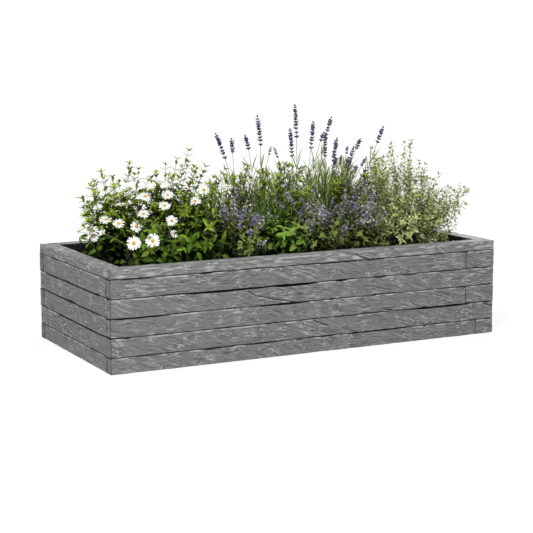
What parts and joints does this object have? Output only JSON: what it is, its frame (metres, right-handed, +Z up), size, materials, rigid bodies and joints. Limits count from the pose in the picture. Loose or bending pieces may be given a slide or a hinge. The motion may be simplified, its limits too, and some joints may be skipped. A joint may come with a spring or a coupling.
{
  "type": "planted raised bed",
  "caption": "Rectangular slate-walled raised bed, lined and filled with compost, planted with white daisies, lavender, catmint, mint and variegated thyme.",
  "frame": {"origin": "middle of the bed's footprint, on the ground", "axes": "+Z up, +X along the bed's length, front wall towards -Y"},
  "size_m": [1.75, 0.8, 0.974],
  "materials": {
    "slate": "matte",
    "board": "matte",
    "steel": "satin",
    "fleece": "matte",
    "gravel": "matte",
    "compost": "matte",
    "daisy_foliage": "matte",
    "lavender_foliage": "matte",
    "catmint_foliage": "matte",
    "mint_foliage": "matte",
    "thyme_foliage": "matte",
    "daisy_flower": "matte",
    "lavender_flower": "matte",
    "catmint_flower": "matte"
  },
  "bodies": {
    "root": {"backing_board_back": "board", "backing_board_front": "board", "backing_board_left": "board", "backing_board_right": "board", "catmint_plant_left": "catmint_foliage", "catmint_plant_middle": "catmint_foliage", "catmint_plant_right": "catmint_foliage", "compost": "compost", "coping_back": "slate", "coping_front": "slate", "coping_left": "slate", "coping_right": "slate", "corner_angle_back_left": "steel", "corner_angle_back_right": "steel", "corner_angle_front_left": "steel", "corner_angle_front_right": "steel", "course_1_back": "slate", "course_1_back_end_block": "slate", "course_1_front": "slate", "course_1_front_end_block": "slate", "course_1_left": "slate", "course_1_right": "slate", "course_2_back": "slate", "course_2_front": "slate", "course_2_left": "slate", "course_2_right": "slate", "course_3_back": "slate", "course_3_back_end_block": "slate", "course_3_back_short": "slate", "course_3_front": "slate", "course_3_front_end_block": "slate", "course_3_front_short": "slate", "course_3_left": "slate", "course_3_right": "slate", "course_4_back": "slate", "course_4_front": "slate", "course_4_left": "slate", "course_4_right": "slate", "course_5_back": "slate", "course_5_back_end_block": "slate", "course_5_front": "slate", "course_5_front_end_block": "slate", "course_5_left": "slate", "course_5_right": "slate", "daisy_plant_back": "daisy_foliage", "daisy_plant_front": "daisy_foliage", "daisy_plant_left": "daisy_foliage", "daisy_plant_right": "daisy_foliage", "drainage_gravel": "gravel", "lavender_plant_left": "lavender_foliage", "lavender_plant_middle": "lavender_foliage", "lavender_plant_right": "lavender_foliage", "liner": "fleece", "mint_plant": "mint_foliage", "thyme_plant_back": "thyme_foliage", "thyme_plant_front": "thyme_foliage"}
  },
  "joints": []
}
